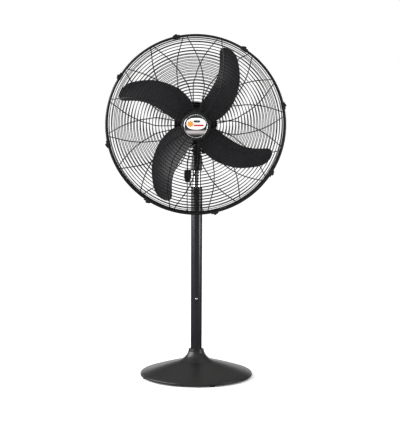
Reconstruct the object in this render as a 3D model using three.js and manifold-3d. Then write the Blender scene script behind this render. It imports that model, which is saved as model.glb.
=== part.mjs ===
// Pedestal fan with a wire cage, built as an assembly of separate named solids.
// Millimetres, +Z up. The origin is on the floor, on the pole's axis. The fan blows towards -Y.
import * as THREE from "three";
import { mergeVertices } from "three/addons/utils/BufferGeometryUtils.js";
import Module from "manifold-3d";

const wasm = await Module();
wasm.setup();

// ---------------------------------------------------------------- driving dimensions
const GAP = 0.3; // between pieces that touch

const BASE_R = 225;
const BASE_LIP_TOP = 15.2; // height where the lip turns into the dome
const BASE_SHOULDER_R = 56; // where the dome meets the pole collar
const BASE_SHOULDER_Z = 61.8;
const COLLAR_TOP_Z = 110;
const BASE_WALL = 2;
const FOOT_R = 13.5;
const FOOT_H = 6.5;
const FOOT_CIRCLE_R = 210;
const FOOT_TURN = 17; // degrees from the front, towards +X

const POLE_R = 20.6;
const POLE_WALL = 2.8;
const POLE_FOOT_Z = 31;
const POLE_TOP_Z = 761;
const MAST_R = 16.2; // the chrome inner tube
const MAST_WALL = 1.2;
const MAST_FOOT_Z = 247;
const BUSH_LENGTH = 40;

const LOCK_Z = 740; // height lock, behind the pole
const GROMMET_Z = 318; // locating screw on the front of the pole
const GLAND_Z = 152; // supply cord's gland, behind the pole

const NECK_FOOT_Z = 833;
const TILT_Z = 912;
const NECK_TOP_Z = TILT_Z - 18;
const MAST_TOP_Z = NECK_TOP_Z - 10;
const FORK_IN = 9.3;
const FORK_OUT = 16;
const FORK_R = 13;
const TILT_BOLT_R = 4;

const FLANGE_Z = TILT_Z + 15;
const FLANGE_TOP_Z = FLANGE_Z + 6;
const SPINDLE_R = 7;
const SPINDLE_FOOT_Z = TILT_Z + 8;
const SPINDLE_TOP_Z = FLANGE_TOP_Z + 21;
const LINK_PIN = new THREE.Vector2(-18, 0); // the fixed end of the oscillation link
const LINK_PIN_R = 2.5;
const CRANK = new THREE.Vector2(-9, 80); // axis of the crank, under the gearbox
const CRANK_THROW = 12.7;
const LINK_LENGTH = 80;
const LINK_Z = FLANGE_TOP_Z + 2;

const HUB = new THREE.Vector3(-6, 0, TILT_Z + 113); // the motor's axis runs along Y through this point
const MOTOR_R = 68;
const MOTOR_HALF = 40;
const COVER_DEPTH = 24;
const REAR_COVER_DEPTH = 18;
const SHAFT_R = 6;
const CORE_HALF = 25;

const CAGE_R = 346.5; // middle of the rim wire
const RIM_WIRE_R = 5;
const FRONT_RIM_Y = -155.5;
const REAR_RIM_Y = -144.5;
const FRONT_DEPTH = 60;
const REAR_DEPTH = 76;
const WIRE_R = 2;
const RIBS = 16;
const RIB_TURN = 7; // degrees from +X to the first rib
const CLIPS = 8;
const CLIP_TURN = 12.5; // degrees from +X to the first clip

const BLADES = 4;
const BLADE_R = 321;
const BLADE_MID_Y = -128;
const BLADE_TURN = 67; // degrees from +X to the first tip
const HUB_R = 58;

const PLATE_R = 54;
const BADGE_R = 46.5;

// ---------------------------------------------------------------- helpers
const rad = THREE.MathUtils.degToRad;
const group = new THREE.Group();

const FINISH = {
  blackPaint: { color: 0x2b2c2e, roughness: 0.5, metalness: 0.3 },
  blackPlastic: { color: 0x1b1b1d, roughness: 0.55, metalness: 0 },
  rubber: { color: 0x141414, roughness: 0.9, metalness: 0 },
  chrome: { color: 0xd8dade, roughness: 0.12, metalness: 1 },
  steel: { color: 0xa6a8ab, roughness: 0.35, metalness: 1 },
  castIron: { color: 0x3a3a3a, roughness: 0.8, metalness: 0.6 },
  brass: { color: 0xb08d4f, roughness: 0.35, metalness: 1 },
  copper: { color: 0x9a5a35, roughness: 0.5, metalness: 0.8 },
};

function add(name, geometry, finish) {
  const mesh = new THREE.Mesh(geometry, new THREE.MeshStandardMaterial(FINISH[finish]));
  mesh.name = name;
  group.add(mesh);
  return mesh;
}

// A closed geometry as a manifold-3d solid, turned right side out if need be.
function toSolid(geometry) {
  const g = (geometry.index ? geometry.toNonIndexed() : geometry.clone());
  g.deleteAttribute("normal");
  g.deleteAttribute("uv");
  const merged = mergeVertices(g, 1e-3);
  const triVerts = new Uint32Array(merged.index.array);
  const kept = [];
  for (let i = 0; i < triVerts.length; i += 3) {
    const [a, b, c] = triVerts.subarray(i, i + 3);
    if (a !== b && b !== c && c !== a) kept.push(a, b, c);
  }
  const build = (tris) =>
    new wasm.Manifold(
      new wasm.Mesh({
        numProp: 3,
        vertProperties: merged.attributes.position.array,
        triVerts: new Uint32Array(tris),
      }),
    );
  const made = build(kept);
  if (made.volume() > 0) return made;
  for (let i = 0; i < kept.length; i += 3) [kept[i + 1], kept[i + 2]] = [kept[i + 2], kept[i + 1]];
  return build(kept);
}

function toGeometry(solid) {
  const mesh = solid.getMesh();
  return new THREE.BufferGeometry()
    .setAttribute("position", new THREE.BufferAttribute(new Float32Array(mesh.vertProperties), 3))
    .setIndex(new THREE.BufferAttribute(new Uint32Array(mesh.triVerts), 1));
}

const join = (...geometries) =>
  toGeometry(geometries.map(toSolid).reduce((all, next) => all.add(next)));

const cut = (geometry, ...tools) =>
  toGeometry(tools.map(toSolid).reduce((left, tool) => left.subtract(tool), toSolid(geometry)));

const upright = (geometry) => toGeometry(toSolid(geometry));

// Revolves a closed [radius, height] outline round Z.
function turnedZ(outline, segments = 32) {
  const points = [...outline, outline[0]].map(([r, h]) => new THREE.Vector2(r, h));
  return upright(new THREE.LatheGeometry(points, segments).rotateX(Math.PI / 2));
}

// Revolves a closed [radius, y] outline round the motor's axis.
function turnedY(outline, segments = 32) {
  const points = [...outline, outline[0]].map(([r, h]) => new THREE.Vector2(r, h));
  return upright(new THREE.LatheGeometry(points, segments).translate(HUB.x, 0, HUB.z));
}

// A cylinder between two heights, along the axis named, through a centre in the other two.
function rod(axis, radius, from, to, a = 0, b = 0, segments = 16) {
  const g = new THREE.CylinderGeometry(radius, radius, to - from, segments);
  const mid = (from + to) / 2;
  if (axis === "x") return g.rotateZ(Math.PI / 2).translate(mid, a, b);
  if (axis === "y") return g.translate(a, mid, b);
  return g.rotateX(Math.PI / 2).translate(a, b, mid);
}

function box(x0, x1, y0, y1, z0, z1) {
  return new THREE.BoxGeometry(x1 - x0, y1 - y0, z1 - z0).translate(
    (x0 + x1) / 2,
    (y0 + y1) / 2,
    (z0 + z1) / 2,
  );
}

const ring = (inner, outer, from, to) => [
  [inner, from],
  [outer, from],
  [outer, to],
  [inner, to],
];

// A star knob's outline: a round body with lobes.
function starShape(radius, lobes, depth) {
  const shape = new THREE.Shape();
  const steps = lobes * 6;
  for (let i = 0; i < steps; i++) {
    const a = (2 * Math.PI * i) / steps;
    const r = radius - depth * (0.5 - 0.5 * Math.cos(lobes * a));
    if (i === 0) shape.moveTo(r * Math.cos(a), r * Math.sin(a));
    else shape.lineTo(r * Math.cos(a), r * Math.sin(a));
  }
  shape.closePath();
  return shape;
}

const extruded = (shape, depth) =>
  new THREE.ExtrudeGeometry(shape, { depth, bevelEnabled: false, curveSegments: 6 });

// A round wire along a curve.
function wire(curve, radius, steps, sides = 3) {
  const section = new THREE.Shape();
  for (let i = 0; i < sides; i++) {
    const a = (2 * Math.PI * (i + 0.5)) / sides;
    const p = [radius * Math.cos(a), radius * Math.sin(a)];
    if (i === 0) section.moveTo(...p);
    else section.lineTo(...p);
  }
  section.closePath();
  return new THREE.ExtrudeGeometry(section, { steps, extrudePath: curve, bevelEnabled: false });
}

// ---------------------------------------------------------------- base
const DOME_R = BASE_R - 5.5; // where the dome meets the lip
// The dome falls nearly straight from its shoulder and a little faster near the lip.
function domeZ(r) {
  const run = DOME_R - BASE_SHOULDER_R;
  const t = (r - BASE_SHOULDER_R) / run;
  const slope = 0.223;
  const curve = BASE_SHOULDER_Z - BASE_LIP_TOP - slope * run;
  return BASE_SHOULDER_Z - slope * run * t - curve * t ** 1.707;
}
const domeRadii = [BASE_SHOULDER_R, 80, 110, 140, 165, 190, 205, DOME_R];
const domeOuter = domeRadii.map((r) => [r, domeZ(r)]);
const domeInner = domeRadii.map((r) => [r, domeZ(r) - BASE_WALL]).reverse();

add(
  "base_shell",
  turnedZ(
    [
      [POLE_R + 1.5, BASE_SHOULDER_Z + 2],
      [50, BASE_SHOULDER_Z + 2],
      ...domeOuter,
      [BASE_R - 1, 12],
      [BASE_R, 10.5],
      [BASE_R, FOOT_H],
      [BASE_R - BASE_WALL, FOOT_H],
      [BASE_R - BASE_WALL, 9.5],
      [BASE_R - BASE_WALL - 1, 10.8],
      ...domeInner,
      [50, BASE_SHOULDER_Z],
      [POLE_R + 1.5, BASE_SHOULDER_Z],
    ],
    32,
  ),
  "blackPaint",
);

add("base_plate", turnedZ(ring(7, BASE_R - BASE_WALL - GAP, FOOT_H + GAP, FOOT_H + 2), 32), "steel");
add("base_weight", turnedZ(ring(8, 95, FOOT_H + 2 + GAP, POLE_FOOT_Z - 2 * GAP), 24), "castIron");

for (let i = 0; i < 4; i++) {
  const a = rad(FOOT_TURN + 90 * i);
  const foot = turnedZ(
    [
      [0, 0],
      [FOOT_R - 1, 0],
      [FOOT_R, 1],
      [FOOT_R, FOOT_H - GAP],
      [0, FOOT_H - GAP],
    ],
    12,
  ).translate(FOOT_CIRCLE_R * Math.sin(a), -FOOT_CIRCLE_R * Math.cos(a), 0);
  add("foot_" + (i + 1), foot, "rubber");
}

add(
  "pole_bolt",
  join(rod("z", 10, 0.8, FOOT_H, 0, 0, 6), rod("z", SHAFT_R, FOOT_H - 1, 60)),
  "steel",
);
add("tube_plug", turnedZ(ring(SHAFT_R + 0.4, POLE_R - POLE_WALL - GAP, POLE_FOOT_Z, 71), 24), "steel");

const COLLAR_R = 65;
add(
  "pole_collar",
  turnedZ(
    [
      [COLLAR_R - 1, domeZ(COLLAR_R) + 0.7],
      [COLLAR_R, domeZ(COLLAR_R) + 1.6],
      [58, 66.6],
      [50, 71.6],
      [44.6, 76],
      [41, 80],
      [38.4, 84],
      [34.2, 92],
      [31.2, 100],
      [30.8, 105],
      [30.2, COLLAR_TOP_Z - 1.2],
      [28.6, COLLAR_TOP_Z],
      [POLE_R + GAP, COLLAR_TOP_Z],
      [POLE_R + GAP, COLLAR_TOP_Z - 2.8],
      [27, COLLAR_TOP_Z - 2.8],
      [28.6, 99],
      [31.8, 91],
      [36, 83],
      [42.4, 75],
      [48, 70],
      [56, 65],
    ],
    24,
  ),
  "blackPlastic",
);

// ---------------------------------------------------------------- pole
const lockHole = rod("y", 4.4, 10, 40, 0, LOCK_Z);
const lockBoss = cut(
  rod("y", 9, 15, 32, 0, LOCK_Z, 20),
  rod("z", POLE_R - 1, LOCK_Z - 20, LOCK_Z + 20, 0, 0, 24),
);
add(
  "outer_tube",
  cut(
    join(turnedZ(ring(POLE_R - POLE_WALL, POLE_R, POLE_FOOT_Z, POLE_TOP_Z), 24), lockBoss),
    lockHole,
    rod("y", 6, -30, -10, 0, GROMMET_Z),
    rod("y", 5.3, 10, 30, 0, GLAND_Z),
  ),
  "blackPaint",
);
add(
  "tube_bush",
  cut(
    turnedZ(
      [
        [MAST_R + GAP, POLE_TOP_Z - BUSH_LENGTH],
        [POLE_R - POLE_WALL - GAP, POLE_TOP_Z - BUSH_LENGTH],
        [POLE_R - POLE_WALL - GAP, POLE_TOP_Z + GAP],
        [POLE_R - 0.4, POLE_TOP_Z + GAP],
        [POLE_R - 0.9, POLE_TOP_Z + 2],
        [MAST_R + GAP, POLE_TOP_Z + 2],
      ],
      24,
    ),
    lockHole,
  ),
  "blackPlastic",
);

const grommetFlange = cut(
  rod("y", 8, -24, -15, 0, 0, 20).scale(1, 1, 1.7).translate(0, 0, GROMMET_Z),
  rod("z", POLE_R + GAP, GROMMET_Z - 20, GROMMET_Z + 20, 0, 0, 24),
);
add(
  "tube_grommet",
  cut(
    join(grommetFlange, rod("y", 5.6, -23.5, -MAST_R - 1.1, 0, GROMMET_Z)),
    rod("y", 2.9, -30, -10, 0, GROMMET_Z),
  ),
  "rubber",
);
add(
  "tube_screw",
  join(
    rod("y", 4.2, -26.4, -24 - GAP, 0, GROMMET_Z, 20),
    rod("y", 2.5, -24.5, -MAST_R - 1.1, 0, GROMMET_Z, 12),
  ),
  "chrome",
);
add(
  "cable_gland",
  cut(
    join(
      rod("y", 8, POLE_R + 0.9, 27, 0, GLAND_Z, 6),
      rod("y", 5, POLE_R - POLE_WALL - 0.4, POLE_R + 2, 0, GLAND_Z),
      rod("y", 6.2, 26, 33, 0, GLAND_Z),
    ),
    rod("y", 3.4, 10, 40, 0, GLAND_Z),
  ),
  "blackPlastic",
);

const lockKnobHead = extruded(starShape(19, 5, 4), 13)
  .rotateX(-Math.PI / 2)
  .translate(0, 38, LOCK_Z);
add(
  "height_knob",
  join(lockKnobHead, rod("y", 9, 32.6, 39, 0, LOCK_Z), rod("y", 4, MAST_R + 0.5, 40, 0, LOCK_Z, 12)),
  "blackPlastic",
);

// ---------------------------------------------------------------- mast: inner tube and neck
add("inner_tube", turnedZ(ring(MAST_R - MAST_WALL, MAST_R, MAST_FOOT_Z, MAST_TOP_Z), 24), "chrome");
add(
  "tube_stop",
  turnedZ(
    [
      [5, MAST_FOOT_Z - 15],
      [MAST_R + 0.7, MAST_FOOT_Z - 15],
      [MAST_R + 0.7, MAST_FOOT_Z - GAP],
      [MAST_R - MAST_WALL - GAP, MAST_FOOT_Z - GAP],
      [MAST_R - MAST_WALL - GAP, MAST_FOOT_Z + 15],
      [5, MAST_FOOT_Z + 15],
    ],
    24,
  ),
  "blackPlastic",
);

const cheek = (from, to) =>
  join(
    box(from, to, -FORK_R, FORK_R, NECK_TOP_Z - 5, TILT_Z),
    rod("x", FORK_R, from, to, 0, TILT_Z, 24),
  );
const saddle = cut(
  box(-FORK_IN - 1, FORK_IN + 1, 2 - FORK_R, FORK_R - 2, NECK_TOP_Z - 5, TILT_Z - 9),
  rod("x", FORK_R, -30, 30, 0, TILT_Z, 24),
);
const LEAD_Z = NECK_TOP_Z - 5; // where the switch lead goes into the neck
add(
  "neck_socket",
  cut(
    join(
      turnedZ(
        [
          [MAST_R + GAP, NECK_FOOT_Z],
          [POLE_R + 1, NECK_FOOT_Z],
          [POLE_R + 1, NECK_FOOT_Z + 5],
          [POLE_R, NECK_FOOT_Z + 6],
          [POLE_R, NECK_TOP_Z],
          [0, NECK_TOP_Z],
          [0, MAST_TOP_Z + GAP],
          [MAST_R + GAP, MAST_TOP_Z + GAP],
        ],
        24,
      ),
      cheek(FORK_IN, FORK_OUT),
      cheek(-FORK_OUT, -FORK_IN),
      saddle,
    ),
    rod("x", TILT_BOLT_R + 0.4, -30, 30, 0, TILT_Z),
    rod("x", 2.6, -30, -17, 0, LEAD_Z, 12),
  ),
  "blackPaint",
);

// The pull switch hangs under the neck's left side, from a tab on its inner face.
const SWITCH_X = -36;
const SWITCH_TOP_Z = 834;
const SWITCH_FOOT_Z = 786;
const switchShape = new THREE.Shape();
switchShape.moveTo(-9, SWITCH_FOOT_Z);
switchShape.lineTo(7, SWITCH_FOOT_Z);
switchShape.lineTo(13.5, SWITCH_FOOT_Z + 16);
switchShape.lineTo(13.5, SWITCH_TOP_Z);
switchShape.lineTo(-12, SWITCH_TOP_Z);
switchShape.lineTo(-14, SWITCH_TOP_Z - 4);
switchShape.lineTo(-14, SWITCH_FOOT_Z + 16);
switchShape.closePath();
const switchBody = extruded(switchShape, 26).rotateX(Math.PI / 2).translate(SWITCH_X, 13, 0);
const PULL_X = -38;
add(
  "switch_box",
  cut(
    join(switchBody, box(-24.5, -POLE_R - 1.4, -8, 8, SWITCH_TOP_Z - 6, SWITCH_TOP_Z + 28)),
    rod("z", 2.2, SWITCH_FOOT_Z - 5, SWITCH_FOOT_Z + 14, PULL_X, 0, 12),
  ),
  "blackPlastic",
);
const leadPath = new THREE.CatmullRomCurve3([
  new THREE.Vector3(PULL_X, 0, SWITCH_TOP_Z + GAP),
  new THREE.Vector3(PULL_X, 0, LEAD_Z - 41),
  new THREE.Vector3(PULL_X, 0, LEAD_Z - 26),
  new THREE.Vector3(PULL_X + 2, 0, LEAD_Z - 13),
  new THREE.Vector3(PULL_X + 8, 0, LEAD_Z - 4),
  new THREE.Vector3(-25, 0, LEAD_Z),
  new THREE.Vector3(-17.5, 0, LEAD_Z),
]);
add("switch_lead", wire(leadPath, 2, 12, 8), "rubber");

// ---------------------------------------------------------------- pull cord
const CORD_TOP_Z = SWITCH_FOOT_Z + 2;
const CORD_FOOT_Z = 676;
add("pull_cord", rod("z", 1.6, CORD_FOOT_Z + GAP, CORD_TOP_Z, PULL_X, 0, 8), "rubber");
add(
  "pull_bead",
  turnedZ(
    [
      [0, CORD_FOOT_Z - 15],
      [4.2, CORD_FOOT_Z - 15],
      [5.2, CORD_FOOT_Z - 12],
      [4.6, CORD_FOOT_Z - 6],
      [2.4, CORD_FOOT_Z],
      [0, CORD_FOOT_Z],
    ],
    16,
  ).translate(PULL_X, 0, 0),
  "blackPlastic",
);

// ---------------------------------------------------------------- tilt joint
const tiltKnobHead = extruded(starShape(14, 4, 3), 13).rotateY(Math.PI / 2).translate(20, 0, TILT_Z);
add(
  "tilt_knob",
  join(
    tiltKnobHead,
    rod("x", 7, FORK_OUT + GAP, 21, 0, TILT_Z),
    rod("x", TILT_BOLT_R, -20, 21, 0, TILT_Z, 16),
    rod("x", 7, -21, -FORK_OUT - GAP, 0, TILT_Z, 6),
  ),
  "blackPlastic",
);

add(
  "tilt_block",
  cut(
    join(
      rod("x", FORK_R - 0.3, -FORK_IN + GAP, FORK_IN - GAP, 0, TILT_Z, 24),
      box(-FORK_IN + GAP, FORK_IN - GAP, -11, 11, TILT_Z, FLANGE_Z + 2),
      rod("z", 25, FLANGE_Z, FLANGE_TOP_Z, 0, 0, 32),
      rod("z", LINK_PIN_R, FLANGE_TOP_Z - 1, LINK_Z + 5, LINK_PIN.x, LINK_PIN.y, 12),
    ),
    rod("x", TILT_BOLT_R + 0.4, -30, 30, 0, TILT_Z),
    rod("z", SPINDLE_R + GAP, SPINDLE_FOOT_Z, FLANGE_TOP_Z + 5, 0, 0, 24),
  ),
  "blackPaint",
);
add(
  "spindle",
  join(
    rod("z", SPINDLE_R, SPINDLE_FOOT_Z + GAP, SPINDLE_TOP_Z, 0, 0, 24),
    rod("z", 9.5, LINK_Z + 4, LINK_Z + 7.6, 0, 0, 24),
  ),
  "steel",
);

// ---------------------------------------------------------------- oscillation link and crank
const linkZ = [LINK_Z, LINK_Z + 3];
add(
  "link_rod",
  cut(
    join(
      rod("z", 6.3, ...linkZ, LINK_PIN.x, LINK_PIN.y, 20),
      rod("z", 10, ...linkZ, LINK_PIN.x, LINK_LENGTH, 24),
      box(LINK_PIN.x - 4.5, LINK_PIN.x + 4.5, 1, LINK_LENGTH - 5, ...linkZ),
    ),
    rod("z", LINK_PIN_R + 0.5, LINK_Z - 5, LINK_Z + 10, LINK_PIN.x, LINK_PIN.y, 16),
    rod("z", 7.2, LINK_Z - 5, LINK_Z + 10, LINK_PIN.x, LINK_LENGTH, 24),
  ),
  "steel",
);
add(
  "crank",
  join(
    rod("z", 17, LINK_Z + 5, LINK_Z + 9.5, CRANK.x, CRANK.y, 28),
    rod("z", 2.5, LINK_Z - 2, LINK_Z + 6, CRANK.x - CRANK_THROW, CRANK.y, 12),
    rod("z", 6, LINK_Z + 8, LINK_Z + 41, CRANK.x, CRANK.y, 16),
    rod("z", 14, LINK_Z + 29, LINK_Z + 36, CRANK.x, CRANK.y, 24),
  ),
  "steel",
);

// ---------------------------------------------------------------- motor
const FRONT_FACE_Y = -MOTOR_HALF - COVER_DEPTH;
const BEARING_R = 13;
const motorBody = rod("y", MOTOR_R + 0.4, -60, 60, HUB.x, HUB.z, 40);
add(
  "swivel_housing",
  cut(
    join(
      rod("z", 14, LINK_Z + 8, LINK_Z + 24, 0, 0, 24),
      box(-30, 16, -26, 26, LINK_Z + 17, LINK_Z + 37),
    ),
    motorBody,
    rod("z", SPINDLE_R + GAP, LINK_Z, SPINDLE_TOP_Z + 0.6, 0, 0, 24),
  ),
  "blackPaint",
);
add("motor_shell", turnedY(ring(MOTOR_R - 2, MOTOR_R, -MOTOR_HALF, MOTOR_HALF), 32), "blackPaint");

// An end cover: a cup with a seat for its bearing. side is -1 at the front and 1 at the back.
function endCover(side, depth) {
  const y0 = side * (MOTOR_HALF + GAP);
  const y1 = side * (MOTOR_HALF + depth);
  const wall = 2.5;
  return turnedY(
    [
      [SHAFT_R + 1, y1],
      [MOTOR_R - 9, y1],
      [MOTOR_R, y1 - side * 9],
      [MOTOR_R, y0],
      [MOTOR_R - wall, y0],
      [MOTOR_R - wall, y1 - side * 9.5],
      [MOTOR_R - 10, y1 - side * wall],
      [BEARING_R + 5, y1 - side * wall],
      [BEARING_R + 5, y1 - side * 13],
      [BEARING_R + GAP, y1 - side * 13],
      [BEARING_R + GAP, y1 - side * wall],
      [SHAFT_R + 1, y1 - side * wall],
    ],
    24,
  );
}
add("motor_front_cover", endCover(-1, COVER_DEPTH), "blackPaint");
add("motor_rear_cover", endCover(1, REAR_COVER_DEPTH), "blackPaint");
add("stator", turnedY(ring(32, MOTOR_R - 3, -CORE_HALF, CORE_HALF), 24), "copper");
const bearing = (from, to) => turnedY(ring(SHAFT_R + GAP, BEARING_R, from, to), 24);
add("front_bearing", bearing(FRONT_FACE_Y + 3, FRONT_FACE_Y + 11), "steel");
add("rear_bearing", bearing(MOTOR_HALF + REAR_COVER_DEPTH - 11, MOTOR_HALF + REAR_COVER_DEPTH - 3), "steel");

// ---------------------------------------------------------------- gearbox
const GEAR_X = [HUB.x - 32, HUB.x + 28];
const GEAR_Y = [MOTOR_HALF + REAR_COVER_DEPTH + GAP, 106];
const GEAR_Z = [HUB.z - 78, HUB.z + 29];
const GEAR_WALL = 3;
function roundedBox(x, y, z, corner) {
  const s = new THREE.Shape();
  s.moveTo(x[0] + corner, z[0]);
  s.lineTo(x[1] - corner, z[0]);
  s.quadraticCurveTo(x[1], z[0], x[1], z[0] + corner);
  s.lineTo(x[1], z[1] - corner);
  s.quadraticCurveTo(x[1], z[1], x[1] - corner, z[1]);
  s.lineTo(x[0] + corner, z[1]);
  s.quadraticCurveTo(x[0], z[1], x[0], z[1] - corner);
  s.lineTo(x[0], z[0] + corner);
  s.quadraticCurveTo(x[0], z[0], x[0] + corner, z[0]);
  return extruded(s, y[1] - y[0]).rotateX(Math.PI / 2).translate(0, y[1], 0);
}
const inside = (pair) => [pair[0] + GEAR_WALL, pair[1] - GEAR_WALL];
const KNOB_Y = 84;
add(
  "gearbox",
  cut(
    roundedBox(GEAR_X, GEAR_Y, GEAR_Z, 14),
    roundedBox(inside(GEAR_X), [GEAR_Y[0] - 5, GEAR_Y[1] - GEAR_WALL], inside(GEAR_Z), 11),
    rod("z", 6.6, GEAR_Z[0] - 5, GEAR_Z[0] + 5, CRANK.x, CRANK.y, 20),
    rod("z", 3.6, GEAR_Z[1] - 5, GEAR_Z[1] + 5, HUB.x, KNOB_Y, 12),
  ),
  "blackPlastic",
);
const WORM_R = 9;
const WHEEL_R = 15;
const WHEEL = { y: 78, z: HUB.z - WORM_R - WHEEL_R - 0.6 };
add("worm", turnedY(ring(SHAFT_R + GAP, WORM_R, 66, 90), 20), "steel");
add(
  "worm_wheel",
  join(
    rod("x", WHEEL_R, HUB.x - 5, HUB.x + 5, WHEEL.y, WHEEL.z, 28),
    rod("x", 3, GEAR_X[0] + 4, GEAR_X[1] - 4, WHEEL.y, WHEEL.z, 12),
  ),
  "brass",
);
add(
  "oscillation_knob",
  join(
    rod("z", 9, GEAR_Z[1] + 4, GEAR_Z[1] + 22, HUB.x, KNOB_Y, 20),
    rod("z", 3, GEAR_Z[1] - 12, GEAR_Z[1] + 6, HUB.x, KNOB_Y, 12),
  ),
  "blackPlastic",
);

// ---------------------------------------------------------------- rotor, hub and blades
add("shaft", turnedY([[0, -170], [SHAFT_R, -170], [SHAFT_R, 92], [0, 92]], 20), "steel");
add("rotor_core", turnedY(ring(SHAFT_R + GAP, 31.3, -CORE_HALF, CORE_HALF), 24), "steel");
add(
  "blade_hub",
  turnedY(
    [
      [SHAFT_R + GAP, -162],
      [30, -162],
      [HUB_R - 8, -158],
      [HUB_R, -150],
      [HUB_R, -102],
      [HUB_R - 3, -102],
      [HUB_R - 3, -150],
      [22, -156],
      [16, -156],
      [16, -104],
      [SHAFT_R + GAP, -104],
    ],
    24,
  ),
  "blackPaint",
);
add(
  "hub_nut",
  turnedY(
    [
      [0, -176],
      [9, -176],
      [13, -172],
      [13, -162 - GAP],
      [SHAFT_R + GAP, -162 - GAP],
      [SHAFT_R + GAP, -170 - GAP],
      [0, -170 - GAP],
    ],
    16,
  ),
  "steel",
);

// A sickle blade. At each radius: the leading and trailing edge in degrees from the tip's radial line,
// and the half rise along Y of the chord, from the trailing edge in front to the leading edge behind.
const BLADE = [
  [HUB_R + 0.6, -60, 16, 23],
  [86, -57, 9.5, 26],
  [118, -49.5, 3.5, 25],
  [157, -40.5, 0, 22],
  [197, -31.5, -1, 19],
  [236, -23.5, 0.5, 16],
  [275, -15, 3.5, 13],
  [299, -10, 5, 10],
  [313, -6.2, 4.3, 7],
  [BLADE_R, -1.8, 1.8, 2],
];
const BLADE_CAMBER = 7;
const BLADE_THICK = 1.8;
function bladeGeometry(turn) {
  const across = 4;
  const rows = BLADE.length;
  const points = [];
  for (const side of [-1, 1])
    for (const [r, lead, trail, rise] of BLADE)
      for (let j = 0; j <= across; j++) {
        const t = j / across;
        const a = rad(turn + lead + (trail - lead) * t);
        const bow = 4 * t * (1 - t) * BLADE_CAMBER * (rise / 22);
        const y = BLADE_MID_Y + rise * (1 - 2 * t) + bow + (side * BLADE_THICK) / 2;
        points.push(HUB.x + r * Math.cos(a), y, HUB.z + r * Math.sin(a));
      }
  const at = (side, i, j) => side * rows * (across + 1) + i * (across + 1) + j;
  const faces = [];
  const quad = (a, b, c, d) => faces.push(a, b, c, a, c, d);
  for (let i = 0; i < rows - 1; i++)
    for (let j = 0; j < across; j++) {
      quad(at(0, i, j), at(0, i + 1, j), at(0, i + 1, j + 1), at(0, i, j + 1));
      quad(at(1, i, j), at(1, i, j + 1), at(1, i + 1, j + 1), at(1, i + 1, j));
    }
  for (let i = 0; i < rows - 1; i++) {
    quad(at(0, i, 0), at(1, i, 0), at(1, i + 1, 0), at(0, i + 1, 0));
    quad(at(0, i, across), at(0, i + 1, across), at(1, i + 1, across), at(1, i, across));
  }
  for (let j = 0; j < across; j++) {
    quad(at(0, 0, j), at(0, 0, j + 1), at(1, 0, j + 1), at(1, 0, j));
    quad(at(0, rows - 1, j), at(1, rows - 1, j), at(1, rows - 1, j + 1), at(0, rows - 1, j + 1));
  }
  return new THREE.BufferGeometry()
    .setAttribute("position", new THREE.Float32BufferAttribute(points, 3))
    .setIndex(faces);
}
const hubBarrel = rod("y", HUB_R + 0.5, -200, -60, HUB.x, HUB.z, 36);
for (let i = 0; i < BLADES; i++)
  add("blade_" + (i + 1), cut(bladeGeometry(BLADE_TURN + (360 / BLADES) * i), hubBarrel), "blackPaint");

// ---------------------------------------------------------------- cage
// Depth of the front dome at a radius: flat in the middle and falling fast near the rim.
const frontY = (r) => FRONT_RIM_Y - FRONT_DEPTH * (1 - (r / CAGE_R) ** 4.5);
// The rear basket is a superellipse: nearly flat at the back, with a steep side.
const rearY = (r) => REAR_RIM_Y + REAR_DEPTH * (1 - (r / CAGE_R) ** 5) ** 0.4;

const onAxis = (r, a, y) => new THREE.Vector3(HUB.x + r * Math.cos(a), y, HUB.z + r * Math.sin(a));

function hoop(radius, y, wireR, around = 32, sides = 3) {
  return new THREE.TorusGeometry(radius, wireR, sides, around)
    .rotateX(Math.PI / 2)
    .translate(HUB.x, y, HUB.z);
}

// How far a rib has swung from its rim end, in degrees, as it runs in to the middle. The front
// guard's ribs all swing one way and the rear guard's the other, so they cross.
const RIB_SWING = [
  [346, 1.1],
  [300, 5.4],
  [235, 11.25],
  [184, 16.6],
  [118, 19.3],
  [50, 20.2],
];
const ribs = [];
for (let k = 0; k < RIBS; k++) {
  const points = RIB_SWING.map(([r, swing]) =>
    onAxis(r, rad(RIB_TURN + (360 / RIBS) * k - swing), frontY(r) + 0.8),
  );
  ribs.push(wire(new THREE.CatmullRomCurve3(points), WIRE_R, 6));
}
const FRONT_HOOPS = [54, 124, 198, 278];
add(
  "front_guard",
  join(
    hoop(CAGE_R, FRONT_RIM_Y, RIM_WIRE_R, 72, 4),
    ...FRONT_HOOPS.map((r) => hoop(r, frontY(r) - 0.8, WIRE_R)),
    ...ribs,
  ),
  "blackPaint",
);

const REAR_SWING = [
  [CAGE_R, 1],
  [340, 1.5],
  [325, 2.8],
  [290, 6],
  [235, 11.25],
  [160, 18.2],
  [78, 20.6],
];
const rearRibs = [];
for (let k = 0; k < RIBS; k++) {
  const points = REAR_SWING.map(([r, swing]) =>
    onAxis(r, rad(RIB_TURN + (360 / RIBS) * k + swing), rearY(r) - 0.8),
  );
  rearRibs.push(wire(new THREE.CatmullRomCurve3(points), WIRE_R, 7));
}
const REAR_HOOPS = [130, 195, 260, 318];
const GUARD_PLATE_R = 84;
const guardPlate = turnedY(ring(26, GUARD_PLATE_R, FRONT_FACE_Y - 7, FRONT_FACE_Y - GAP), 24);
add(
  "rear_guard",
  join(
    hoop(CAGE_R, REAR_RIM_Y, RIM_WIRE_R, 120, 4),
    ...REAR_HOOPS.map((r) => hoop(r, rearY(r) + 0.8, WIRE_R)),
    ...rearRibs,
    guardPlate,
  ),
  "blackPaint",
);

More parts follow.
